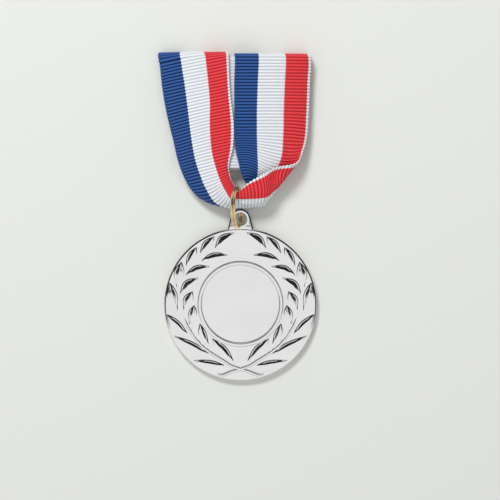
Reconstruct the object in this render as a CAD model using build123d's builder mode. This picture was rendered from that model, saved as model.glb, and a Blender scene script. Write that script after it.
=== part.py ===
from build123d import *
import math
import os

# Award medal with its neck ribbon, lying flat. Millimetres, +Z up out of the obverse.
# The origin is on the disc's axis at its reverse face. +Y runs to the suspension lug.

# Disc, cast in one piece with its lug and its laurel wreath
DISC_R = 25.0
FIELD_Z = 2.5  # flat ground of the obverse
EDGE_TOP_R = 0.9
EDGE_BOTTOM_R = 0.5

# Seat for a 25 mm emblem, inside a raised bead
SEAT_R = 12.75
SEAT_Z = 2.3
BEAD_OUTER_R = 14.0
BEAD_WALL_TOP_Z = 2.8
BEAD_TOP_Z = 2.95

# Lug
HOLE_Y = 27.85
HOLE_R = 2.15
LUG_TOP_R = 3.2
LUG_BASE_HALF = 3.7
LUG_BASE_Y = 24.4
LUG_CORNER_R = 0.3
LUG_BOTTOM_Z = 1.4
LUG_PLATE_Z = 2.25
LUG_RIM_Z = 2.5
LUG_RIM_W = 0.65

# Laurel wreath: (tip x, tip y), (base x, base y), width of each leaf on the +X side
LEAF_TOP_Z = 2.95
STEM_TOP_Z = 2.85
ROOT_DEPTH = 0.4  # how far the relief is rooted below the field
STEM_W = 0.8
OUTER_LEAVES = (
    ((1.9, 23.4), (8.5, 18.6), 2.7),
    ((8.5, 22.4), (13.4, 16.5), 2.7),
    ((14.2, 19.1), (18.0, 12.2), 2.7),
    ((19.6, 14.5), (20.7, 5.2), 3.2),
    ((23.7, 6.4), (20.4, -2.6), 3.0),
    ((24.0, -3.0), (17.0, -10.0), 2.9),
    ((21.6, -10.2), (10.4, -16.4), 2.9),
    ((15.6, -18.3), (5.4, -20.0), 2.6),
)
INNER_LEAVES = (
    ((3.9, 16.0), (13.1, 14.0), 2.1),
    ((10.1, 12.3), (18.0, 9.4), 2.1),
    ((13.8, 8.4), (19.6, 3.1), 2.2),
    ((15.7, 3.9), (19.0, -2.8), 2.2),
    ((15.3, -0.5), (16.0, -7.2), 2.3),
    ((13.3, -6.6), (10.2, -12.9), 2.4),
    ((9.3, -11.1), (1.9, -19.1), 2.8),
)

# Split ring: two turns of round wire side by side, standing on its edge and leaning to -X
WIRE_R = 0.4
RING_R = 6.5
TURN_PITCH = 0.7
RING_LEAN = 12.0
RING_X = -1.1
RING_Y = 31.6
RING_Z = 6.95

# Neck ribbon: 25 mm grosgrain. Its two legs lie over the hank that the rest is folded into
RIBBON_W = 25.0
HANK_MID_X = -4.0
HANK_Y = (44.0, 81.0)
HANK_TOP_Z = 6.4
LEG_END_Y = 82.3
LEG_T = 0.9  # the leg and the first turned-under layer, nested
BUNCH_Y = 34.3
BUNCH_Z = 6.3
BUNCH_R = 2.4
BUNCH_X = (-5.0, 4.0)

# Seam at the back of the neck: rows of stitches, flush in the underside of the hank
STITCH = (2.2, 0.5, 0.3)
STITCH_STEP = 3.2
STITCHES_PER_ROW = 7
STITCH_ROWS_Y = (58.0, 66.0)


with BuildPart() as medal_disc:
    # Disc, bead and seat turned about the axis
    with BuildSketch(Plane.XZ):
        with BuildLine():
            Line((0, 0), (DISC_R - EDGE_BOTTOM_R, 0))
            RadiusArc(
                (DISC_R - EDGE_BOTTOM_R, 0), (DISC_R, EDGE_BOTTOM_R), -EDGE_BOTTOM_R
            )
            Line((DISC_R, EDGE_BOTTOM_R), (DISC_R, FIELD_Z - EDGE_TOP_R))
            RadiusArc(
                (DISC_R, FIELD_Z - EDGE_TOP_R), (DISC_R - EDGE_TOP_R, FIELD_Z), -EDGE_TOP_R
            )
            Line((DISC_R - EDGE_TOP_R, FIELD_Z), (BEAD_OUTER_R, FIELD_Z))
            ThreePointArc(
                (BEAD_OUTER_R, FIELD_Z),
                ((BEAD_OUTER_R + SEAT_R) / 2, BEAD_TOP_Z),
                (SEAT_R, BEAD_WALL_TOP_Z),
            )
            Polyline((SEAT_R, BEAD_WALL_TOP_Z), (SEAT_R, SEAT_Z), (0, SEAT_Z), (0, 0))
        make_face()
    revolve(axis=Axis.Z)

    # Lug plate, with a raised rim along its outline and round its hole
    with BuildSketch(Plane.XY.offset(LUG_BOTTOM_Z)) as lug_plan:
        with Locations((0, HOLE_Y)):
            Circle(LUG_TOP_R)
        with Locations((-LUG_BASE_HALF, LUG_BASE_Y), (LUG_BASE_HALF, LUG_BASE_Y)):
            Circle(LUG_CORNER_R)
        make_hull()
    extrude(amount=LUG_PLATE_Z - LUG_BOTTOM_Z)
    with BuildSketch(Plane.XY.offset(LUG_BOTTOM_Z)):
        add(lug_plan.sketch.face())
        offset(amount=-LUG_RIM_W, mode=Mode.SUBTRACT)
        with Locations((0, HOLE_Y)):
            Circle(HOLE_R + LUG_RIM_W)
    extrude(amount=LUG_RIM_Z - LUG_BOTTOM_Z)
    with Locations((0, HOLE_Y, LUG_BOTTOM_Z)):
        Cylinder(
            HOLE_R,
            LUG_RIM_Z,
            align=(Align.CENTER, Align.CENTER, Align.MIN),
            mode=Mode.SUBTRACT,
        )

    # Wreath: stems first, then the leaves on both sides
    for flip in (1, -1):
        with BuildSketch(Plane.XY.offset(FIELD_Z - ROOT_DEPTH)):
            with BuildLine():
                ThreePointArc(
                    (flip * -3.2, -22.4), (flip * 13.9, -11.7), (flip * 20.1, 2.0)
                )
                ThreePointArc(
                    (flip * 20.1, 2.0), (flip * 18.6, 9.6), (flip * 11.4, 17.6)
                )
            trace(line_width=STEM_W)
        extrude(amount=STEM_TOP_Z - FIELD_Z + ROOT_DEPTH)
        for tip, base, width in OUTER_LEAVES + INNER_LEAVES:
            start = Vector(flip * base[0], base[1])
            end = Vector(flip * tip[0], tip[1])
            half = (end - start).normalized().rotate(Axis.Z, 90) * (width / 2)
            middle = (start + end) * 0.5
            with BuildSketch(Plane.XY.offset(FIELD_Z - ROOT_DEPTH)):
                with BuildLine():
                    ThreePointArc(start, middle + half, end)
                    ThreePointArc(end, middle - half, start)
                make_face()
            extrude(amount=LEAF_TOP_Z - FIELD_Z + ROOT_DEPTH)
medal_disc.part.label = "medal_disc"

lean = math.radians(RING_LEAN)
ring_plane = Plane(
    origin=(RING_X, RING_Y, RING_Z),
    x_dir=(0, 1, 0),
    z_dir=(math.cos(lean), 0, math.sin(lean)),
)
with BuildPart(ring_plane) as split_ring:
    with Locations((0, 0, -TURN_PITCH / 2), (0, 0, TURN_PITCH / 2)):
        Torus(RING_R, WIRE_R)
split_ring.part.label = "split_ring"

# Each leg is lofted from its free end to its lower end. A section is
# outer edge, shoulder over the hank's side, inner edge, as (x, top z).
LEFT_LEG = {
    LEG_END_Y: ((-26.6, 2.2), (-16.5, 6.9), (-3.6, 7.3)),
    45.5: ((-20.0, 3.6), (-14.0, 6.9), (-3.3, 7.3)),
}
RIGHT_LEG = {
    LEG_END_Y: ((22.9, 3.2), (8.5, 7.2), (-1.8, 7.5)),
    49.0: ((22.2, 3.4), (8.5, 7.2), (-0.4, 7.5)),
}
# Plan of the ribbon where it narrows from each leg to the ring, and its height
LEFT_TURN = (
    (-19.6, 46.4),
    (-3.7, 46.4),
    (-3.7, 39.4),
    (-4.2, 39.2),
    (-4.2, 32.5),
    (-9.8, 32.4),
    (-13.0, 33.6),
    (-15.8, 36.6),
    (-18.6, 41.6),
)
RIGHT_TURN = (
    (-0.1, 50.3),
    (21.6, 50.3),
    (19.9, 46.3),
    (14.8, 40.5),
    (9.0, 35.0),
    (6.4, 33.1),
    (3.2, 32.6),
    (3.2, 39.4),
    (0.8, 39.8),
)
TURN_Z = (3.1, 7.0)

with BuildPart() as neck_ribbon:
    with Locations((HANK_MID_X, HANK_Y[0], 0)):
        Box(
            RIBBON_W,
            HANK_Y[1] - HANK_Y[0],
            HANK_TOP_Z,
            align=(Align.CENTER, Align.MIN, Align.MIN),
        )
    for leg in (LEFT_LEG, RIGHT_LEG):
        for y, top in leg.items():
            with BuildSketch(Plane.XZ.offset(-y)):
                with BuildLine():
                    below = [(x, z - LEG_T) for x, z in reversed(top)]
                    Polyline(*top, *below, close=True)
                make_face()
        loft(ruled=True)
    for plan in (LEFT_TURN, RIGHT_TURN):
        with BuildSketch(Plane.XY.offset(TURN_Z[0])):
            with BuildLine():
                Polyline(*plan, close=True)
            make_face()
        extrude(amount=TURN_Z[1] - TURN_Z[0])
    with Locations(((BUNCH_X[0] + BUNCH_X[1]) / 2, BUNCH_Y, BUNCH_Z)):
        Cylinder(BUNCH_R, BUNCH_X[1] - BUNCH_X[0], rotation=(0, 90, 0))
    stitch_places = [(HANK_MID_X, y, STITCH[2] / 2) for y in STITCH_ROWS_Y]
    for place in stitch_places:
        with Locations(place):
            with GridLocations(STITCH_STEP, 0, STITCHES_PER_ROW, 1):
                Box(*STITCH, mode=Mode.SUBTRACT)
neck_ribbon.part.label = "neck_ribbon"

with BuildPart() as neck_stitches:
    for place in stitch_places:
        with Locations(place):
            with GridLocations(STITCH_STEP, 0, STITCHES_PER_ROW, 1):
                Box(*STITCH)
neck_stitches.part.label = "neck_stitches"

os.makedirs("parts", exist_ok=True)
for name in (medal_disc, split_ring, neck_ribbon, neck_stitches):
    export_step(name.part, f"parts/{name.part.label}.step")
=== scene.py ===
import math

import bpy
import numpy as np
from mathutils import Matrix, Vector


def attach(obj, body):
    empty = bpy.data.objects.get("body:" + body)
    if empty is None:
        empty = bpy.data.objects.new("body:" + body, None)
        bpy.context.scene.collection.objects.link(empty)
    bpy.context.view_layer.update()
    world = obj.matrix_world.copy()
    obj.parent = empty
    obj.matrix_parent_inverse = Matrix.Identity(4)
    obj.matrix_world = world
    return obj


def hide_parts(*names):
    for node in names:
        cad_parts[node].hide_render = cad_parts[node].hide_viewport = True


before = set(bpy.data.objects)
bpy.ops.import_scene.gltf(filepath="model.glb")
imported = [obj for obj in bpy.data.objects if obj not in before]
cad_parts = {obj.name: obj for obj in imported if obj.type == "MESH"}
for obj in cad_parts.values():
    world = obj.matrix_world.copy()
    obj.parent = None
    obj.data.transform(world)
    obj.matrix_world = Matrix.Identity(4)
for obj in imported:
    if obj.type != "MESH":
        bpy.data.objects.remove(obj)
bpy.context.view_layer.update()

scene = bpy.context.scene
scene.view_settings.view_transform = "Standard"


# ---- The table ---------------------------------------------------------------------------
# A sheet of ivory card that the medal and its ribbon lie on, with a faint grain of fibres.
# It is only the stage, so no body carries it.

CARD_HALF, CARD_Z = 2500, -0.1
CARD_COLOUR, CARD_SHADE = (0.80, 0.815, 0.775), 0.98


def mesh_piece(name, points_mm, faces, smooth=True):
    """A mesh object from points in millimetres."""
    mesh = bpy.data.meshes.new(name)
    mesh.from_pydata((np.asarray(points_mm, float) / 1000).tolist(), [], faces)
    mesh.update()
    if smooth:
        mesh.polygons.foreach_set("use_smooth", [True] * len(mesh.polygons))
    piece = bpy.data.objects.new(name, mesh)
    scene.collection.objects.link(piece)
    return piece


def node(tree, kind, x, y, sockets=None, **settings):
    """A shader node at its place in the tree, with its sockets' values and its settings."""
    made = tree.nodes.new(kind)
    made.location = (x, y)
    for key, value in settings.items():
        setattr(made, key, value)
    for key, value in (sockets or {}).items():
        made.inputs[key].default_value = value
    return made


def wire(tree, *links):
    """Joins nodes. Each link is a node, its output, the next node and that one's input."""
    for source, output, target, entry in links:
        tree.links.new(source.outputs[output], target.inputs[entry])


def two_tone(tree, x, y, dark, light):
    """A colour ramp from a dark colour to a light one."""
    made = node(tree, "ShaderNodeValToRGB", x, y)
    for stop, colour in zip(made.color_ramp.elements, (dark, light)):
        stop.color = (*colour, 1)
    return made


def fresh_material(name, sockets):
    """A node material: itself, its tree and its shader, with the shader's own values set."""
    material = bpy.data.materials.new(name)
    material.use_nodes = True
    tree = material.node_tree
    tree.nodes.clear()
    shader = node(tree, "ShaderNodeBsdfPrincipled", 600, 0, sockets)
    out = node(tree, "ShaderNodeOutputMaterial", 900, 0)
    wire(tree, (shader, "BSDF", out, "Surface"))
    return material, tree, shader


table_top = mesh_piece(
    "table_top",
    [(x * CARD_HALF, y * CARD_HALF, CARD_Z) for x, y in ((-1, -1), (1, -1), (1, 1), (-1, 1))],
    [(0, 1, 2, 3)], smooth=False)
ivory_card, tree, shader = fresh_material("ivory_card", {"Roughness": 0.85})
place = node(tree, "ShaderNodeTexCoord", -700, 0)
fibres = node(tree, "ShaderNodeTexNoise", -450, 0, {"Scale": 1400, "Detail": 4})
tone = two_tone(tree, -200, 100, [c * CARD_SHADE for c in CARD_COLOUR], CARD_COLOUR)
grain = node(tree, "ShaderNodeBump", 150, -250, {"Strength": 0.06, "Distance": 0.0001})
wire(tree,
     (place, "Object", fibres, "Vector"),
     (fibres, "Fac", tone, "Fac"),
     (fibres, "Fac", grain, "Height"),
     (tone, "Color", shader, "Base Color"),
     (grain, "Normal", shader, "Normal"))
table_top.data.materials.append(ivory_card)


# ---- The light and the camera ------------------------------------------------------------
# A white studio tent, open towards the top end of the medal: that dark opening draws the
# black lines in the plating. A card closes its far end, a light skirt hangs near the table,
# and one large lamp that the metal doesn't mirror gives the soft shadows.

TENT_WALL, TENT_OPENING, TENT_CARD, TENT_SKIRT = 0.86, 0.02, 0.8, 0.52
LAMP_PLACE, LAMP_AIM, LAMP_SIZE, LAMP_POWER = (-0.35, 0.75, 0.95), (0, 0.03, 0), 0.35, 10.0
CAMERA_HEIGHT, SENSOR_WIDTH = 1.2, 36
VIEW_CENTRE, VIEW_WIDTH = (0.00312, 0.01772), 0.16404


def graded(tree, x, y, start, end, low=0.0, high=1.0, soft=False):
    """A node that goes from low to high, evenly or softly, as its input goes from start to end."""
    spans = {"From Min": start, "From Max": end, "To Min": low, "To Max": high}
    kind = "SMOOTHSTEP" if soft else "LINEAR"
    return node(tree, "ShaderNodeMapRange", x, y, spans, interpolation_type=kind)


tent = bpy.data.worlds.new("studio_tent")
scene.world = tent
tent.use_nodes = True
tree = tent.node_tree
tree.nodes.clear()
toward = node(tree, "ShaderNodeTexCoord", -1500, 0)
axes = node(tree, "ShaderNodeSeparateXYZ", -1300, 0)
# The opening begins further back the lower one looks.
tilt = graded(tree, -1100, -200, 0.93, 0.66, 0.0, 0.50)
reach = node(tree, "ShaderNodeMath", -900, 0, operation="ADD")
opening = graded(tree, -700, 0, 0.20, 0.34, TENT_WALL, TENT_OPENING, soft=True)
# The far card is a wedge round the middle of the opening, and only at its far end.
aside = node(tree, "ShaderNodeMath", -1100, 300, operation="ABSOLUTE")
narrow = node(tree, "ShaderNodeMath", -900, 300, {1: -2.2}, operation="MULTIPLY_ADD")
wedge = graded(tree, -700, 300, 0.1, 0.5, soft=True)
far_end = graded(tree, -700, 550, 0.68, 0.8, soft=True)
far_card = node(tree, "ShaderNodeMath", -500, 400, operation="MULTIPLY")
carded = node(tree, "ShaderNodeMix", -300, 200, {"B": TENT_CARD}, data_type="FLOAT")
skirt = graded(tree, -700, -300, 0.52, 0.43, soft=True)
skirted = node(tree, "ShaderNodeMix", -100, 100, {"B": TENT_SKIRT}, data_type="FLOAT")
seen = node(tree, "ShaderNodeLightPath", -200, 450)
shown = node(tree, "ShaderNodeMix", 50, 100, {"B": TENT_WALL}, data_type="FLOAT")
glow = node(tree, "ShaderNodeBackground", 250, 0, {"Color": (1, 1, 1, 1)})
out = node(tree, "ShaderNodeOutputWorld", 450, 0)
wire(tree,
     (toward, "Generated", axes, "Vector"),
     (axes, "Z", tilt, "Value"),
     (axes, "Y", reach, 0),
     (tilt, "Result", reach, 1),
     (reach, "Value", opening, "Value"),
     (axes, "X", aside, 0),
     (aside, "Value", narrow, 0),
     (axes, "Y", narrow, 2),
     (narrow, "Value", wedge, "Value"),
     (axes, "Y", far_end, "Value"),
     (wedge, "Result", far_card, 0),
     (far_end, "Result", far_card, 1),
     (far_card, "Value", carded, "Factor"),
     (opening, "Result", carded, "A"),
     (axes, "Z", skirt, "Value"),
     (skirt, "Result", skirted, "Factor"),
     (carded, "Result", skirted, "A"),
     (seen, "Is Camera Ray", shown, "Factor"),
     (skirted, "Result", shown, "A"),
     (shown, "Result", glow, "Strength"),
     (glow, "Background", out, "Surface"))

lamp_data = bpy.data.lights.new("key_lamp", "AREA")
lamp_data.shape = "SQUARE"
lamp_data.size = LAMP_SIZE
lamp_data.energy = LAMP_POWER
key_lamp = bpy.data.objects.new("key_lamp", lamp_data)
scene.collection.objects.link(key_lamp)
key_lamp.location = LAMP_PLACE
lamp_way = Vector(LAMP_AIM) - Vector(LAMP_PLACE)
key_lamp.rotation_euler = lamp_way.to_track_quat("-Z", "Y").to_euler()
key_lamp.visible_glossy = False
key_lamp.visible_camera = False

camera_data = bpy.data.cameras.new("camera")
camera_data.sensor_width = SENSOR_WIDTH
camera_data.lens = SENSOR_WIDTH * CAMERA_HEIGHT / VIEW_WIDTH
camera = bpy.data.objects.new("camera", camera_data)
scene.collection.objects.link(camera)
camera.location = (*VIEW_CENTRE, CAMERA_HEIGHT)
scene.camera = camera


# ---- The medal ---------------------------------------------------------------------------
# One zinc casting, struck with a laurel wreath round a plain seat for a 25 mm emblem, then
# polished and plated. The lug that the split ring hangs in is cast on at the top.

DISC_R, FIELD_Z, SEAT_Z, EDGE_ROUND, BACK_ROUND = 25.0, 2.5, 2.3, 0.9, 0.5
ROUND_STEPS, FIELD_STEP = 1200, 0.105
RELIEF_END, RELIEF_FADE = 24.0, 0.4
# Each leaf, in mm: base, tip, how far it bellies to its left and to its right, its bevel's
# width, and how far along from base to tip it is widest.
OUTER_LEAVES = [
    ((8.6, 17.6), (1.9, 23.5), 1.7, 2.3, 1.75, 0.50),
    ((13.5, 15.8), (8.4, 22.3), 1.6, 1.7, 1.5, 0.52),
    ((18.1, 11.4), (14.2, 18.8), 1.4, 1.5, 1.35, 0.55),
    ((20.8, 3.4), (19.3, 14.0), 1.5, 2.0, 1.3, 0.62),
    ((20.3, -4.0), (23.2, 7.2), 1.5, 2.1, 1.1, 0.62),
    ((17.0, -10.2), (24.5, -3.05), 1.25, 2.8, 0.8, 0.50),
    ((10.0, -16.6), (22.1, -10.2), 1.2, 2.6, 0.8, 0.45),
    ((4.8, -20.3), (15.7, -18.4), 1.1, 2.3, 0.7, 0.45),
]
INNER_LEAVES = [
    ((13.3, 13.8), (3.9, 16.0), 1.3, 2.0, 1.15, 0.50),
    ((18.4, 9.0), (9.8, 12.3), 1.2, 2.1, 1.0, 0.50),
    ((20.1, 2.6), (13.7, 8.7), 1.5, 2.3, 1.25, 0.52),
    ((18.9, -3.3), (15.6, 4.3), 1.4, 1.9, 1.1, 0.60),
    ((16.6, -8.4), (15.1, -0.2), 1.5, 1.5, 1.0, 0.62),
    ((10.2, -14.2), (13.4, -6.1), 0.9, 1.8, 0.9, 0.55),
    ((1.8, -19.5), (9.5, -11.1), 1.6, 2.0, 1.0, 0.52),
]
LEAF_POINTS, LEAF_FULLNESS = 34, 1.1
LEAF_WALL, LEAF_WALL_H, LEAF_RIM, LEAF_SLOPE = 0.31, 0.14, 0.52, 0.33
VEIN_ALONG, VEIN_HALF, VEIN_DEPTH = (0.04, 0.2, 0.36), 0.3, 0.12
STEM = [(-7.5, -23.4), (-5.8, -23.3), (-4.2, -22.7), (-2.8, -22.1), (0.0, -21.3), (3.3, -20.1),
        (6.0, -18.3), (9.5, -16.1), (12.5, -13.9), (14.9, -11.2), (17.2, -7.6), (18.8, -4.2),
        (19.6, -0.3), (19.7, 4.0), (18.5, 8.5), (17.7, 11.8), (15.6, 14.4), (13.3, 16.1),
        (9.0, 18.0)]
STEM_HALF, STEM_H, STEM_END, STEM_POINT = 0.42, 0.32, 0.62, 0.06
STEM_FOOT, STEM_TAPER, STEM_SINK = 1.25, 0.55, 0.5


def eased(x):
    """Nought to one with soft ends."""
    x = np.clip(x, 0, 1)
    return x * x * (3 - 2 * x)


def line_distance(points, line):
    """How far each point is from a line of points, and how far along it the nearest place is."""
    best, where = np.full(len(points), 1e9), np.zeros(len(points))
    for i, (a, b) in enumerate(zip(line[:-1], line[1:])):
        a, b = np.array(a, float), np.array(b, float)
        t = np.clip((points - a) @ (b - a) / ((b - a) @ (b - a)), 0, 1)
        d = np.hypot(*(points - a - t[:, None] * (b - a)).T)
        near = d < best
        best[near], where[near] = d[near], (i + t[near])
    return best, where / (len(line) - 1)


def leaf_height(points, leaf, side):
    """The height of one leaf over the field: a low wall, a flat rim, a bevel up to the blade."""
    (bx, by), (tx, ty), left, right, bevel, widest = leaf
    base, tip = np.array([bx, by]), np.array([tx, ty])
    across = np.array([by - ty, tx - bx]) / np.hypot(*(tip - base))
    shift = math.log(0.5) / math.log(widest)

    def belly(t):
        return np.abs(np.sin(math.pi * np.clip(t, 0, 1) ** shift)) ** LEAF_FULLNESS

    t = np.linspace(0, 1, LEAF_POINTS)[:, None]
    outline = np.vstack([base + t * (tip - base) + left * belly(t) * across,
                         (base + t * (tip - base) - right * belly(t) * across)[-2:0:-1]])
    outline[:, 0] *= side
    height = np.zeros(len(points))
    low, high = outline.min(0) - 0.1, outline.max(0) + 0.1
    near = np.flatnonzero(np.all((points > low) & (points < high), axis=1))
    p = points[near]
    inside = np.zeros(len(p), bool)
    for (x0, y0), (x1, y1) in zip(outline, np.roll(outline, -1, axis=0)):
        crosses = (y0 > p[:, 1]) != (y1 > p[:, 1])
        inside ^= crosses & (p[:, 0] < (x1 - x0) * (p[:, 1] - y0) / ((y1 - y0) or 1e-9) + x0)
    d, _ = line_distance(p, [*outline, outline[0]])
    d[~inside] = 0
    full = belly((p * (side, 1) - base) @ (tip - base) / ((tip - base) @ (tip - base)))
    rim = LEAF_RIM * np.clip((left + right) / 3 * full, 0.3, 1)
    slope_w = bevel * np.clip(full, 0.12, 1)
    rise = (LEAF_WALL_H * np.clip(d / LEAF_WALL, 0, 1)
            + LEAF_SLOPE * slope_w * np.clip((d - rim) / slope_w, 0, 1))
    vein = [(base + s * (tip - base) + (left - right) * 0.5 * float(belly(s)) * across) * (side, 1)
            for s in VEIN_ALONG]
    vein_d, along = line_distance(p, vein)
    rise -= VEIN_DEPTH * (1 - eased(vein_d / VEIN_HALF)) * (1 - along) * inside
    height[near] = rise
    return height


def relief(points):
    """The wreath's height over the field at each point of the face."""
    height = np.zeros(len(points))
    for side in (1, -1):
        d, along = line_distance(points, [(x * side, y) for x, y in STEM])
        girth = STEM_HALF * (STEM_FOOT - STEM_TAPER * along)
        ends = np.clip((STEM_END - along) / STEM_POINT, 0, 1)
        round_stem = np.sqrt(np.clip(1 - (d / girth) ** 2, 0, 1))
        height = np.maximum(height, STEM_H * round_stem * (1 - STEM_SINK * along) * ends)
        for leaf in INNER_LEAVES + OUTER_LEAVES:
            height = np.maximum(height, leaf_height(points, leaf, side))
    return height


# The section from the seat out over the bead, the field and the edge to the back, as (r, z).
seat_and_bead = [(6.0, SEAT_Z), (12.4, SEAT_Z), (12.66, SEAT_Z), (12.72, 2.34), (12.76, 2.46),
                 (12.79, 2.64), (12.83, 2.78), (12.90, 2.88), (13.02, 2.935), (13.3, 2.95),
                 (13.6, 2.945), (13.72, 2.93), (13.80, 2.885), (13.89, 2.82), (13.94, 2.64),
                 (13.98, 2.56), (14.08, 2.51), (14.3, FIELD_Z)]
field = [(r, FIELD_Z) for r in np.arange(14.4, DISC_R - EDGE_ROUND, FIELD_STEP)]
edge = [(24.2, FIELD_Z), (24.3, 2.495), (24.4, 2.475), (24.5, 2.44), (24.62, 2.385),
        (24.75, 2.325), (24.88, 2.265), (24.94, 2.21), (24.985, 2.05), (DISC_R, 1.8), (DISC_R, 1.2)]
back = [(DISC_R - BACK_ROUND * (1 - math.cos(a)), BACK_ROUND * (1 - math.sin(a)))
        for a in np.radians(np.arange(0, 91, 15))] + [(24.0, 0.0), (12.0, 0.0)]
section = np.array(seat_and_bead + field + edge + back)
face_end = len(seat_and_bead) + len(field) + len(edge)
turn = np.linspace(0, 2 * math.pi, ROUND_STEPS, endpoint=False)
r, z = section[:, :1], section[:, 1:]
grid = np.stack([r * np.cos(turn), r * np.sin(turn), z + 0 * turn], axis=2)
top = grid[len(seat_and_bead):face_end].reshape(-1, 3)
top_r = np.hypot(top[:, 0], top[:, 1])
top[:, 2] += relief(top[:, :2]) * (1 - eased((top_r - RELIEF_END) / RELIEF_FADE))
points = [*grid.reshape(-1, 3), (0, 0, SEAT_Z), (0, 0, 0)]
rings, n = len(section), ROUND_STEPS
faces = [(i * n + k, (i + 1) * n + k, (i + 1) * n + (k + 1) % n, i * n + (k + 1) % n)
         for i in range(rings - 1) for k in range(n)]
faces += [(rings * n, k, (k + 1) % n) for k in range(n)]
faces += [(rings * n + 1, (rings - 1) * n + (k + 1) % n, (rings - 1) * n + k) for k in range(n)]

HOLE, HOLE_R, HOLE_ROUND_W, HOLE_ROUND = np.array([0.0, 27.85]), 2.15, 0.15, 0.1
LUG_R, LUG_FOOT, LUG_FOOT_R, LUG_STEP_Y = 3.25, (3.95, 24.15), 0.3, 25.4
LUG_RIM_Z, LUG_RIM_W, LUG_DIP, LUG_DIP_W = 2.40, 0.55, 0.17, 0.34
LUG_CHAMFER, LUG_CHAMFER_W, LUG_BACK_Z, LUG_BACK_BEVEL = 0.46, 0.5, 1.4, 0.12
LUG_STEPS, LUG_RINGS = 320, 34

foot = np.array(LUG_FOOT) - HOLE
lean = math.atan2(foot[1], foot[0]) + math.acos((LUG_R - LUG_FOOT_R) / np.hypot(*foot))
flank = np.array([math.cos(lean), math.sin(lean)])


def inside_lug(p):
    """How far points, taken from the hole's centre, are inside the lug's edge."""
    sides = LUG_R - np.maximum(p @ flank, p @ (flank * (-1, 1)))
    head = np.where(p[:, 1] > np.abs(p[:, 0]) * flank[1] / flank[0], LUG_R - np.hypot(*p.T), 1e9)
    return np.minimum(np.minimum(sides, head), p[:, 1] - (foot[1] - LUG_FOOT_R))


start = len(points)
outward = np.linspace(0, 4, 801)
for k in range(LUG_STEPS):
    a = 2 * math.pi * k / LUG_STEPS
    ray = np.array([math.cos(a), math.sin(a)])
    far = HOLE_R + outward
    width = far[np.flatnonzero(inside_lug(far[:, None] * ray) >= 0)[-1]] - HOLE_R
    d = width * np.linspace(0, 1, LUG_RINGS)
    p = (HOLE_R + d)[:, None] * ray
    past_step = p[:, 1] + HOLE[1] - LUG_STEP_Y + LUG_RIM_W
    rim = np.minimum(inside_lug(p), np.minimum(d, past_step)) - LUG_RIM_W
    round_off = (LUG_CHAMFER * np.clip(LUG_CHAMFER_W - inside_lug(p), 0, 1)
                 + np.clip(1 - d / HOLE_ROUND_W, 0, 1) ** 2 * HOLE_ROUND)
    top_z = LUG_RIM_Z - LUG_DIP * eased(rim / LUG_DIP_W) - round_off
    low_z = LUG_BACK_Z + LUG_BACK_BEVEL
    ring = [*zip(d, top_z), (width, low_z), (width - LUG_BACK_BEVEL, LUG_BACK_Z),
            (LUG_BACK_BEVEL, LUG_BACK_Z), (0.0, low_z)]
    points += [(*(HOLE + (HOLE_R + e) * ray), float(h)) for e, h in ring]
m = len(ring)
faces += [(start + k * m + i, start + k * m + (i + 1) % m,
           start + (k + 1) % LUG_STEPS * m + (i + 1) % m, start + (k + 1) % LUG_STEPS * m + i)
          for k in range(LUG_STEPS) for i in range(m)]
medal = mesh_piece("medal", points, faces)
medal.data.set_sharp_from_angle(angle=math.radians(50))


def effect_group(name, entries, results):
    """A shader node group with named sockets: itself, its entry node and its result node."""
    group = bpy.data.node_groups.new(name, "ShaderNodeTree")
    for socket_name, kind, value in entries:
        socket = group.interface.new_socket(socket_name, in_out="INPUT", socket_type=kind)
        if value is not None:
            socket.default_value = value
    for socket_name, kind in results:
        group.interface.new_socket(socket_name, in_out="OUTPUT", socket_type=kind)
    return group, node(group, "NodeGroupInput", -1100, 0), node(group, "NodeGroupOutput", 600, 0)


# Handled metal: hairlines and finger haze that change its colour, gloss and surface a little.
handled_metal, get, give = effect_group(
    "handled_metal",
    [("Bright", "NodeSocketColor", (1, 1, 1, 1)), ("Dull", "NodeSocketColor", (1, 1, 1, 1)),
     ("Gloss", "NodeSocketFloat", 0.1), ("Haze", "NodeSocketFloat", 0.1)],
    [("Colour", "NodeSocketColor"), ("Roughness", "NodeSocketFloat"),
     ("Normal", "NodeSocketVector")])
place = node(handled_metal, "ShaderNodeTexCoord", -900, -250)
haze = node(handled_metal, "ShaderNodeTexNoise", -650, 0, {"Scale": 110, "Detail": 5})
hairs = node(handled_metal, "ShaderNodeTexNoise", -650, -300, {"Scale": 2600, "Detail": 2})
patch = graded(handled_metal, -400, 0, 0.35, 0.7)
mixed = node(handled_metal, "ShaderNodeMix", -100, 150, data_type="RGBA")
rough = node(handled_metal, "ShaderNodeMath", -100, -100, operation="MULTIPLY_ADD")
skin = node(handled_metal, "ShaderNodeBump", -100, -300, {"Strength": 0.05, "Distance": 0.00002})
wire(handled_metal,
     (place, "Object", haze, "Vector"),
     (place, "Object", hairs, "Vector"),
     (haze, "Fac", patch, "Value"),
     (patch, "Result", mixed, 0),
     (get, "Bright", mixed, 6),
     (get, "Dull", mixed, 7),
     (patch, "Result", rough, 0),
     (get, "Haze", rough, 1),
     (get, "Gloss", rough, 2),
     (hairs, "Fac", skin, "Height"),
     (mixed, 2, give, "Colour"),
     (rough, "Value", give, "Roughness"),
     (skin, "Normal", give, "Normal"))


def plated(name, bright, dull, gloss, haze_amount):
    """A polished metal finish worn by handling."""
    material, tree, shader = fresh_material(name, {"Metallic": 1})
    wear = node(tree, "ShaderNodeGroup", 200, 0, node_tree=handled_metal)
    wear.inputs["Bright"].default_value = (*bright, 1)
    wear.inputs["Dull"].default_value = (*dull, 1)
    wear.inputs["Gloss"].default_value = gloss
    wear.inputs["Haze"].default_value = haze_amount
    wire(tree,
         (wear, "Colour", shader, "Base Color"),
         (wear, "Roughness", shader, "Roughness"),
         (wear, "Normal", shader, "Normal"))
    return material


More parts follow.
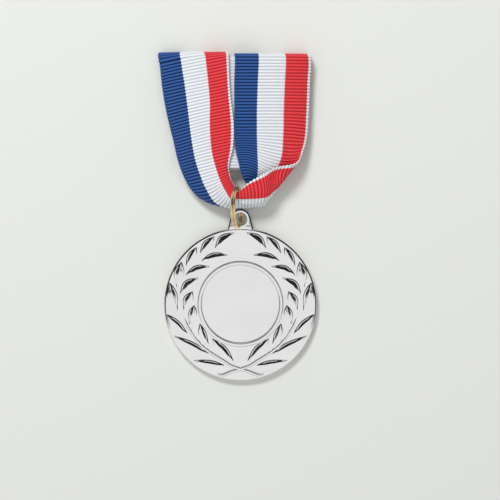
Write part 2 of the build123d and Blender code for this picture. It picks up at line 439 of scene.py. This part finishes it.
SILVER, DULL_SILVER = (0.90, 0.90, 0.90), (0.86, 0.865, 0.87)
medal.data.materials.append(plated("silver_plating", SILVER, DULL_SILVER, 0.11, 0.05))
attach(medal, "medal")
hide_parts("medal_disc")


# ---- The split ring ----------------------------------------------------------------------
# Two turns of round steel wire, brass plated, like a small key ring: the wire steps over
# from one turn to the other, and both cut ends lie in the groove beside that step.

RING_CENTRE, RING_R, WIRE_R, RING_LEAN = (-1.1, 31.6, 6.95), 6.5, 0.4, math.radians(12)
STEP_AT, STEP_HALF, TURNS_APART = math.radians(-52), math.radians(13), 0.97
WIRE_STEPS, WIRE_SIDES = 420, 16
END_ROUND, END_GIRTH = 0.15, 0.8
BRASS, DULL_BRASS = (0.93, 0.77, 0.50), (0.84, 0.64, 0.36)

ring_up = np.array([-math.sin(RING_LEAN), 0, math.cos(RING_LEAN)])
ring_axis = np.array([math.cos(RING_LEAN), 0, math.sin(RING_LEAN)])
along_y = np.array([0.0, 1, 0])
points, faces = [], []
angles = np.linspace(STEP_HALF, 4 * math.pi - STEP_HALF, WIRE_STEPS)
for a in angles:
    crossing = max(-1, min(1, (a - 2 * math.pi) / STEP_HALF))
    shift = TURNS_APART * WIRE_R * math.sin(math.pi / 2 * crossing)
    out = math.cos(a + STEP_AT) * along_y + math.sin(a + STEP_AT) * ring_up
    to_end = max(min(a - angles[0], angles[-1] - a) * RING_R, 0)
    girth = WIRE_R * (END_GIRTH + (1 - END_GIRTH) * math.sqrt(min(to_end / END_ROUND, 1)))
    centre = np.array(RING_CENTRE) + RING_R * out + shift * ring_axis
    points += [centre + girth * (math.cos(b) * out + math.sin(b) * ring_axis)
               for b in np.linspace(0, 2 * math.pi, WIRE_SIDES, endpoint=False)]
for i in range(WIRE_STEPS - 1):
    here, there = i * WIRE_SIDES, (i + 1) * WIRE_SIDES
    faces += [(here + k, here + (k + 1) % WIRE_SIDES, there + (k + 1) % WIRE_SIDES, there + k)
              for k in range(WIRE_SIDES)]
faces += [tuple(range(WIRE_SIDES))[::-1],
          tuple((WIRE_STEPS - 1) * WIRE_SIDES + k for k in range(WIRE_SIDES))]
split_ring = mesh_piece("split_ring_wire", points, faces)
split_ring.data.set_sharp_from_angle(angle=math.radians(50))
split_ring.data.materials.append(plated("brass_plating", BRASS, DULL_BRASS, 0.14, 0.1))
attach(split_ring, "ring")
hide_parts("split_ring")


# ---- The neck ribbon ---------------------------------------------------------------------
# One loop of woven, ribbed 25 mm ribbon in blue, white and red, with a white selvage beside
# the red. It runs down the left leg, gathers through the ring, folds over on the right and
# goes up the right leg. The rest is folded to and fro in a flat hank under the legs.

RIBBON_W, CLOTH, RIB_PITCH, RIB_DEPTH, SELVAGE_NICK = 25.0, 0.34, 1.035, 0.07, 1.6
# The blue selvage, the two stripe boundaries and the red selvage, across the strip.
WARP = np.array([0.0, 8.0, 16.6, 25.0]) / RIBBON_W
COLUMNS, RUN = 41, 0.207
HANK_X, LAYER, HANK_START, HANK_LOW, HANK_HIGH, SEAM_END = -4.0, 0.376, 52.0, 44.9, 80.0, 70.0
HANK_SIDEWAYS, HANK_UNEVEN, HANK_Z = 0.3, 0.35, {"left": 0.56, "right": 0.94}
TABLE_GAP = 0.08
PLEATS, PLEAT_FROM, PLEAT_H, PLEAT_REACH = 5, 1.04, 0.22, 4.5

TOP_FOLD_Y = 80.5
RIGHT_FOLD = ((8.52, 36.53), math.radians(52))
# Each fold's length round the bend, how far it bulges out, and half its height.
WRAP = {"left": (9.0, 1.8, 3.4), "right": (8.4, 1.3, 3.2), "corner": (6.2, 2.0, 2.4)}


def bend_off(wrap, e):
    """How far a bend moves a point across the fold and in height, at e past the fold's start."""
    length, bulge, rise = WRAP[wrap]
    phi = math.pi * np.clip(e / length, 0, 1)
    move = np.where(e > 0, bulge * np.sin(phi) - np.clip(e - length, 0, None), e)
    return move, rise * np.cos(phi)


def top_fold(p, wrap):
    """Turns cloth under at the top end of the legs."""
    move, lift = bend_off(wrap, p[..., 1] - TOP_FOLD_Y)
    return np.stack([p[..., 0], TOP_FOLD_Y + move, p[..., 2] + lift], axis=-1)


def corner_fold(p):
    """Turns cloth under along the slanting fold on the right."""
    (x, y), slant = RIGHT_FOLD
    out = np.array([math.sin(slant), -math.cos(slant)])
    e = (p[..., :2] - (x, y)) @ out
    move, lift = bend_off("corner", e)
    flat = p[..., :2] + (move - e)[..., None] * out
    return np.concatenate([flat, (p[..., 2] + lift)[..., None]], axis=-1)


def over_corner(x, y, z):
    """A point of the cloth over the slanting fold, laid out flat as if it weren't folded."""
    return (x, y, z - WRAP["corner"][2])


def under_corner(x, y, z):
    """A point of the cloth under the slanting fold, laid out flat as if it weren't folded."""
    (fx, fy), slant = RIGHT_FOLD
    length, _, rise = WRAP["corner"]
    out = np.array([math.sin(slant), -math.cos(slant)])
    e = (np.array([x, y]) - (fx, fy)) @ out
    return (*(np.array([x, y]) + (length - 2 * e) * out), z + rise)


def over_top(row, wrap):
    """A row of cloth over a top fold, laid out flat as if it weren't folded."""
    return [(x, y, z - WRAP[wrap][2]) for x, y, z in row]


def under_top(y, wrap, middle=HANK_X):
    """A row of cloth across the hank under a top fold, laid out flat as if it weren't folded."""
    length, _, rise = WRAP[wrap]
    far = 2 * TOP_FOLD_Y + length - y
    return [(middle + (w - 0.5) * RIBBON_W, far, HANK_Z[wrap] + rise) for w in WARP]


# Rows across the strip, each with a point at the blue selvage, at the two stripe boundaries
# and at the red selvage.
hidden_left = [under_top(56.0, "left"), under_top(64.0, "left"),
               under_top(71.0, "left", -4.4), under_top(80.0, "left", -11.5)]
left_leg = [
    [(-26.9, 83.0, 2.6), (-19.7, 84.0, 6.2), (-11.8, 85.5, 7.6), (-4.0, 87.0, 7.8)],
    [(-26.2, 77.0, 2.6), (-19.2, 78.5, 6.2), (-11.3, 80.0, 7.6), (-3.9, 81.5, 7.8)],
    [(-25.5, 70.5, 2.6), (-18.2, 72.0, 6.3), (-10.6, 73.5, 7.6), (-3.7, 75.0, 7.8)],
    [(-24.3, 63.5, 2.9), (-17.3, 65.2, 6.6), (-10.0, 66.8, 7.7), (-3.3, 68.4, 7.8)],
    [(-21.8, 53.0, 3.2), (-16.0, 54.6, 6.8), (-9.9, 56.2, 7.8), (-2.2, 57.6, 7.8)],
    [(-20.2, 46.3, 4.1), (-14.8, 47.7, 7.1), (-9.2, 49.2, 8.0), (-2.6, 50.8, 7.8)],
    [(-18.4, 41.6, 4.3), (-13.3, 42.8, 7.2), (-7.9, 44.2, 8.3), (-3.9, 45.4, 7.5)],
    [(-15.9, 37.4, 3.8), (-11.3, 38.0, 7.0), (-6.4, 40.0, 8.6), (-3.4, 41.4, 7.6)],
    [(-12.4, 34.7, 3.0), (-8.3, 33.4, 6.0), (-4.7, 36.8, 8.7), (-2.2, 38.8, 7.8)],
    [(-6.2, 35.6, 3.2), (-4.2, 31.7, 5.4), (-2.9, 34.5, 8.7), (-1.7, 36.9, 7.9)],
]
ring_row = [(-1.2, 35.8, 3.9), (-1.0, 31.8, 5.3), (-0.9, 34.4, 8.7), (-0.8, 36.3, 7.9)]
right_bunch = [(2.6, 36.2, 3.9), (2.9, 31.8, 5.3), (3.2, 34.4, 8.7), (2.4, 39.3, 8.5)]
right_turn = [
    [over_corner(8.4, 33.2, 5.0), over_corner(7.2, 32.0, 5.9),
     over_corner(7.9, 34.8, 8.2), over_corner(7.0, 42.2, 8.5)],
    [under_corner(1.3, 40.5, 5.6), under_corner(5.7, 40.0, 5.0),
     over_corner(12.6, 37.4, 7.4), over_corner(12.6, 44.8, 8.3)],
    [under_corner(-0.6, 46.2, 7.2), under_corner(5.7, 45.0, 7.2),
     under_corner(11.6, 42.4, 5.4), over_corner(19.0, 46.0, 8.0)],
    [under_corner(-1.7, 50.8, 7.4), under_corner(5.5, 50.6, 7.3),
     under_corner(13.5, 48.8, 6.7), under_corner(20.4, 49.6, 5.0)],
]
right_leg = [
    [(-1.9, 54.8, 7.5), (5.4, 54.8, 7.4), (13.9, 54.4, 6.9), (21.5, 53.8, 4.4)],
    [(-2.0, 63.0, 7.5), (5.4, 63.0, 7.4), (14.1, 63.0, 6.8), (22.2, 62.8, 3.9)],
    [(-2.0, 73.0, 7.5), (5.7, 73.0, 7.4), (14.5, 73.0, 6.8), (22.6, 73.0, 4.0)],
    [(-1.8, 80.5, 7.5), (6.0, 80.5, 7.4), (14.8, 80.5, 6.8), (22.9, 80.5, 4.0)],
    [(-1.9, 83.0, 7.5), (5.9, 83.0, 7.3), (14.6, 83.0, 6.4), (22.6, 83.0, 3.6)],
]
hidden_right = [under_top(79.5, "right", 10.4), under_top(71.0, "right", 4.0),
                under_top(61.0, "right", -3.5), under_top(HANK_START, "right")]


def through(rows, first, last):
    """A smooth surface through rows of four points, from the first of them to the last."""
    rows = np.array(rows, float)
    gap = np.linalg.norm(np.diff(rows, axis=0), axis=2).mean(1)
    knots = np.concatenate([[0], np.cumsum(gap)])
    tangent = np.gradient(rows, knots, axis=0)
    count = max(2, int(round((knots[last] - knots[first]) / RUN)) + 1)
    at = np.linspace(knots[first], knots[last], count)
    i = np.clip(np.searchsorted(knots, at, side="right") - 1, 0, len(knots) - 2)
    h = (knots[i + 1] - knots[i])[:, None, None]
    t = ((at - knots[i]) / (knots[i + 1] - knots[i]))[:, None, None]
    smooth = ((2 * t**3 - 3 * t**2 + 1) * rows[i] + (t**3 - 2 * t**2 + t) * h * tangent[i]
              + (3 * t**2 - 2 * t**3) * rows[i + 1] + (t**3 - t**2) * h * tangent[i + 1])
    u = np.linspace(0, 1, COLUMNS)
    weights = np.stack([
        np.prod([(u - WARP[k]) / (WARP[j] - WARP[k]) for k in range(4) if k != j], axis=0)
        for j in range(4)])
    return np.einsum("skc,ku->suc", smooth, weights)


left_flat = hidden_left + [over_top(row, "left") for row in left_leg + [ring_row, right_bunch]]
left = top_fold(through(left_flat, 0, len(left_flat) - 2), "left")
corner_flat = [[over_corner(*p) for p in row] for row in (left_leg[-1], ring_row, right_bunch)]
corner_flat += right_turn + [[under_corner(*p) for p in row] for row in right_leg[:3]]
corner = corner_fold(through(corner_flat, 1, len(corner_flat) - 2))
right_flat = [over_top(row, "right") for row in right_leg] + hidden_right
right = top_fold(through(right_flat, 1, len(right_flat) - 1), "right")

# The hank: the layer that each run lies in, counted up from the table, from the end of the
# right leg to the seam. The runs lie a little unevenly, as if folded by hand.
LAYERS = [2, 3, 6, 7, 10, 11, 14, 15, 16, 13, 12, 9, 8, 5, 4, 0]
hank = []
for k, (layer, following) in enumerate(zip(LAYERS, LAYERS[1:] + [None])):
    down = k % 2 == 0
    z = LAYER * (layer + 0.5)
    side = HANK_X + HANK_SIDEWAYS * math.sin(1.9 * layer + 0.6)
    uneven = HANK_UNEVEN * math.sin(2.3 * ((layer + 1) // 2 // 2))
    ends = [end + uneven for end in ((HANK_HIGH, HANK_LOW) if down else (HANK_LOW, HANK_HIGH))]
    if k == 0:
        ends[0] = HANK_START
    if following is None:
        ends[1] = SEAM_END
    stops = np.linspace(*ends, 7)
    hank += [(side, y, z) for y in (stops[1:] if k == 0 else stops)]
    if following is not None:
        radius, onward = LAYER * (following - layer) / 2, -1 if down else 1
        for a in np.linspace(0, math.pi, 8)[1:-1]:
            bend = ends[1] + onward * abs(radius) * math.sin(a)
            hank.append((side, bend, z + radius * (1 - math.cos(a))))
across = (np.linspace(0, 1, COLUMNS) - 0.5) * RIBBON_W
hank = np.array([[(x + w, y, z) for w in across] for x, y, z in hank])

cloth = np.concatenate([left, corner[1:], right[1:], hank])
cloth[..., 2] = np.maximum(cloth[..., 2], CLOTH / 2 + TABLE_GAP)
fine_rows = len(left) + len(corner) + len(right) - 2
middle = cloth[:, COLUMNS // 2]
run = np.concatenate([[0], np.cumsum(np.linalg.norm(np.diff(middle, axis=0), axis=1))])


def cloth_normals(surface):
    """The direction straight out of the cloth at each of its points."""
    lengthwise = np.gradient(surface, axis=0)
    crosswise = np.gradient(surface, axis=1)
    normal = np.cross(crosswise, lengthwise)
    return normal / np.maximum(np.linalg.norm(normal, axis=2, keepdims=True), 1e-9)


# Where the strip is squeezed narrower than it was woven, the spare width stands up in soft
# pleats, which die away on both sides of the ring.
girth = np.linalg.norm(np.diff(cloth, axis=1), axis=2).sum(1)
spare = np.clip(RIBBON_W / girth - PLEAT_FROM, 0, 1.2)
spare[fine_rows:] = 0
from_ring = np.abs(np.arange(len(cloth)) - len(left) + 1) * RUN
height = (np.clip(2 * np.sqrt(spare) * girth / (2 * math.pi * PLEATS), 0, PLEAT_H)
          * np.exp(-(from_ring / PLEAT_REACH) ** 2))
u = np.linspace(0, 1, COLUMNS)
waves = np.sin(2 * math.pi * PLEATS * u + 0.7) * np.sin(math.pi * u) ** 0.5
cloth = cloth + cloth_normals(cloth) * (height[:, None] * waves)[..., None]

# The ribs stand out of both faces and nick the two selvages.
ribs = RIB_DEPTH * np.cos(2 * math.pi * run / RIB_PITCH)
ribs[fine_rows:] = 0
for selvage, inner in ((0, 1), (-1, -2)):
    outward = cloth[:, selvage] - cloth[:, inner]
    outward /= np.linalg.norm(outward, axis=1, keepdims=True)
    cloth[:, selvage] += outward * ribs[:, None] * SELVAGE_NICK
thick = (CLOTH / 2 + ribs)[:, None, None] * cloth_normals(cloth)
points = np.concatenate([(cloth + thick).reshape(-1, 3), (cloth - thick).reshape(-1, 3)])
rows, cols = len(cloth), COLUMNS
under = rows * cols
faces = []
for i in range(rows - 1):
    for k in range(cols - 1):
        a = i * cols + k
        faces.append((a, a + 1, a + cols + 1, a + cols))
        faces.append((under + a, under + a + cols, under + a + cols + 1, under + a + 1))
    for a, b in ((i * cols, (i + 1) * cols), ((i + 2) * cols - 1, (i + 1) * cols - 1)):
        faces.append((a, b, under + b, under + a))
for start, facing in ((0, -1), ((rows - 1) * cols, 1)):
    faces += [(start + k, start + k + 1, under + start + k + 1, under + start + k)[::facing]
              for k in range(cols - 1)[::facing]]
ribbon = mesh_piece("ribbon", points, faces)
strip = ribbon.data.uv_layers.new(name="strip")
corner_of = np.zeros(len(ribbon.data.loops), int)
ribbon.data.loops.foreach_get("vertex_index", corner_of)
corner_of %= under
on_strip = np.stack([u[corner_of % cols], run[corner_of // cols] / RIBBON_W], axis=1)
strip.data.foreach_set("uv", on_strip.ravel())
ribbon.data.set_sharp_from_angle(angle=math.radians(60))
ribbon.data.validate()

# Ribbed weave: rounded ribs across the strip, with fine warp threads side by side over them.
ribbed_weave, get, give = effect_group(
    "ribbed_weave",
    [("Strip", "NodeSocketVector", None), ("Ribs", "NodeSocketFloat", 19.2),
     ("Threads", "NodeSocketFloat", 90.0)],
    [("Groove", "NodeSocketFloat"), ("Height", "NodeSocketFloat"), ("Tone", "NodeSocketFloat")])
apart = node(ribbed_weave, "ShaderNodeSeparateXYZ", -900, 0)
rib_at = node(ribbed_weave, "ShaderNodeMath", -700, 100, operation="MULTIPLY")
rib_wave = node(ribbed_weave, "ShaderNodeMath", -500, 100, operation="COSINE")
# The groove mask: where the ribbon's colour is painted darker, as shade down between the ribs.
groove_shade_mask = graded(ribbed_weave, -300, 100, 0.4, -1.0)
warp_at = node(ribbed_weave, "ShaderNodeMath", -700, -150, operation="MULTIPLY")
warp_wave = node(ribbed_weave, "ShaderNodeMath", -500, -150, operation="SINE")
cloth_height = node(ribbed_weave, "ShaderNodeMath", -100, -100, {1: 0.18}, operation="MULTIPLY_ADD")
yarns = node(ribbed_weave, "ShaderNodeTexNoise", -500, -400, {"Scale": 60, "Detail": 4})
wire(ribbed_weave,
     (get, "Strip", apart, "Vector"),
     (apart, "Y", rib_at, 0),
     (get, "Ribs", rib_at, 1),
     (rib_at, "Value", rib_wave, 0),
     (rib_wave, "Value", groove_shade_mask, "Value"),
     (apart, "X", warp_at, 0),
     (get, "Threads", warp_at, 1),
     (warp_at, "Value", warp_wave, 0),
     (warp_wave, "Value", cloth_height, 0),
     (rib_wave, "Value", cloth_height, 2),
     (get, "Strip", yarns, "Vector"),
     (groove_shade_mask, "Result", give, "Groove"),
     (cloth_height, "Value", give, "Height"),
     (yarns, "Fac", give, "Tone"))

# Each stripe's colour on the crest of a rib, lightened by a painted sheen, and down in the
# groove beside it, darkened by painted shade.
BLUE, WHITE, RED = (0.034, 0.110, 0.36), (0.86, 0.88, 0.92), (0.86, 0.060, 0.074)
BLUE_IN_GROOVE_SHADE, WHITE_IN_GROOVE_SHADE, RED_IN_GROOVE_SHADE = (0.0005, 0.004, 0.030), (0.50, 0.53, 0.57), (0.40, 0.010, 0.016)
WARP_THREADS, RAGGED = 80, -0.005


def stripe_ramp(tree, y, blue, white, red):
    """The stripes' colours across the strip, from the blue selvage to the white one."""
    made = node(tree, "ShaderNodeValToRGB", -600, y)
    stops = made.color_ramp.elements
    stops[0].position, stops[0].color = 0.315, (*blue, 1)
    stops[1].position, stops[1].color = 0.322, (*white, 1)
    for at, colour in ((0.655, white), (0.668, red), (0.964, red), (0.969, white)):
        stops.new(at).color = (*colour, 1)
    return made


polyester, tree, shader = fresh_material("ribbed_polyester", {
    "Roughness": 0.62, "Specular IOR Level": 0.22, "Sheen Weight": 0.05, "Sheen Roughness": 0.4})
place = node(tree, "ShaderNodeUVMap", -1300, 0, uv_map="strip")
woven = node(tree, "ShaderNodeGroup", -1050, -100, node_tree=ribbed_weave)
woven.inputs["Ribs"].default_value = 2 * math.pi * RIBBON_W / RIB_PITCH
woven.inputs["Threads"].default_value = 2 * math.pi * WARP_THREADS
apart = node(tree, "ShaderNodeSeparateXYZ", -1050, 200)
ragged = node(tree, "ShaderNodeMath", -850, 200, {1: RAGGED}, operation="MULTIPLY_ADD")
crest = stripe_ramp(tree, 300, BLUE, WHITE, RED)
groove = stripe_ramp(tree, 0, BLUE_IN_GROOVE_SHADE, WHITE_IN_GROOVE_SHADE, RED_IN_GROOVE_SHADE)
# Mixes the crest colours, with their painted sheen, towards the painted groove shade.
between = node(tree, "ShaderNodeMix", -250, 200, data_type="RGBA")
shade = node(tree, "ShaderNodeMix", 0, 200, {0: 1}, data_type="RGBA", blend_type="MULTIPLY")
speckle = graded(tree, -450, -250, 0.0, 1.0, 0.88, 1.12)
threads = node(tree, "ShaderNodeBump", 200, -250, {"Strength": 0.5, "Distance": 0.00005})
wire(tree,
     (place, "UV", woven, "Strip"),
     (place, "UV", apart, "Vector"),
     (woven, "Groove", ragged, 0),
     (apart, "X", ragged, 2),
     (ragged, "Value", crest, "Fac"),
     (ragged, "Value", groove, "Fac"),
     (woven, "Tone", speckle, "Value"),
     (woven, "Groove", between, 0),
     (crest, "Color", between, 6),
     (groove, "Color", between, 7),
     (between, 2, shade, 6),
     (speckle, "Result", shade, 7),
     (shade, 2, shader, "Base Color"),
     (woven, "Height", threads, "Height"),
     (threads, "Normal", shader, "Normal"))
ribbon.data.materials.append(polyester)
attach(ribbon, "ribbon")
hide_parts("neck_ribbon")


# ---- The seam's stitches -----------------------------------------------------------------
# Two rows of machine stitching in white polyester thread, through both lapped ends of the
# ribbon on the hank's underside.

sewing_thread, tree, shader = fresh_material("sewing_thread", {"Roughness": 0.5})
place = node(tree, "ShaderNodeTexCoord", -700, 0)
twist = node(tree, "ShaderNodeTexWave", -450, 0, {"Scale": 1500, "Distortion": 0.6},
             wave_type="BANDS", bands_direction="DIAGONAL")
# The darker of the two colours is painted shade down between the twisted plies of the white thread.
tone = two_tone(tree, -200, 100, (0.55, 0.55, 0.56), (0.82, 0.82, 0.83))
lay = node(tree, "ShaderNodeBump", 200, -250, {"Strength": 0.6, "Distance": 0.00005})
wire(tree,
     (place, "Object", twist, "Vector"),
     (twist, "Fac", tone, "Fac"),
     (twist, "Fac", lay, "Height"),
     (tone, "Color", shader, "Base Color"),
     (lay, "Normal", shader, "Normal"))
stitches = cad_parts["neck_stitches"]
stitches.data.materials.clear()
stitches.data.materials.append(sewing_thread)
